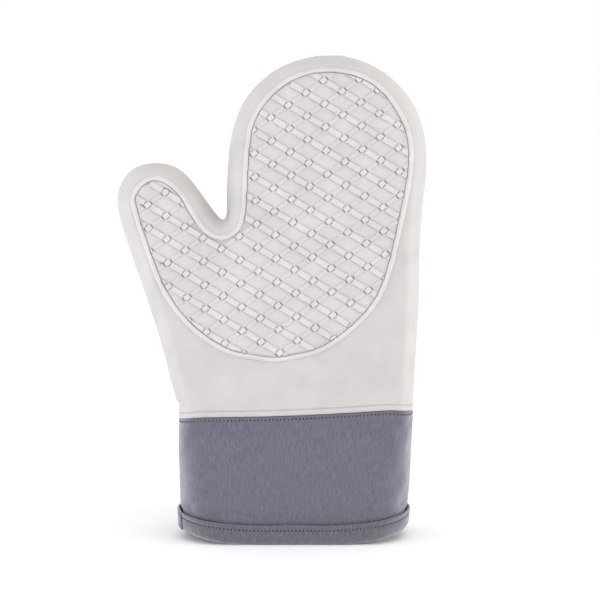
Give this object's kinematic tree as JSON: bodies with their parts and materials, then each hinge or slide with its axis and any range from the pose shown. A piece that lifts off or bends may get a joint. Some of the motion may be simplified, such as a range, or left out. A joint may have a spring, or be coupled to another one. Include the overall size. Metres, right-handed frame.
{
  "type": "oven mitt",
  "caption": "Silicone oven mitt with a lattice grip panel, a padded cotton lining and a woven cuff with a bound hem.",
  "frame": {"origin": "under the middle of the mitt's overall box, on the surface that the hem stands on", "axes": "+Z from the hem to the fingertips, -Y out of the grip face of the palm, -X towards the thumb"},
  "size_m": [0.1925, 0.0698, 0.2997],
  "materials": {
    "silicone": "matte moulded silicone, warm light greige",
    "cuff_cloth": "fine plain-woven polyester-cotton, slate grey",
    "binding_cloth": "the same woven cloth, cut as a folded binding strip",
    "lining_cloth": "quilted cotton",
    "wadding": "lofty polyester wadding",
    "thread": "spun sewing thread"
  },
  "bodies": {
    "root": {"silicone_palm_shell": "silicone", "silicone_back_shell": "silicone", "wadding_palm": "wadding", "wadding_back": "wadding", "lining_palm": "lining_cloth", "lining_back": "lining_cloth", "cuff_palm_panel": "cuff_cloth", "cuff_back_panel": "cuff_cloth", "hem_binding": "binding_cloth", "cuff_seam_thread": "thread", "hem_thread": "thread", "cuff_side_seam_left": "thread", "cuff_side_seam_right": "thread"}
  },
  "joints": []
}
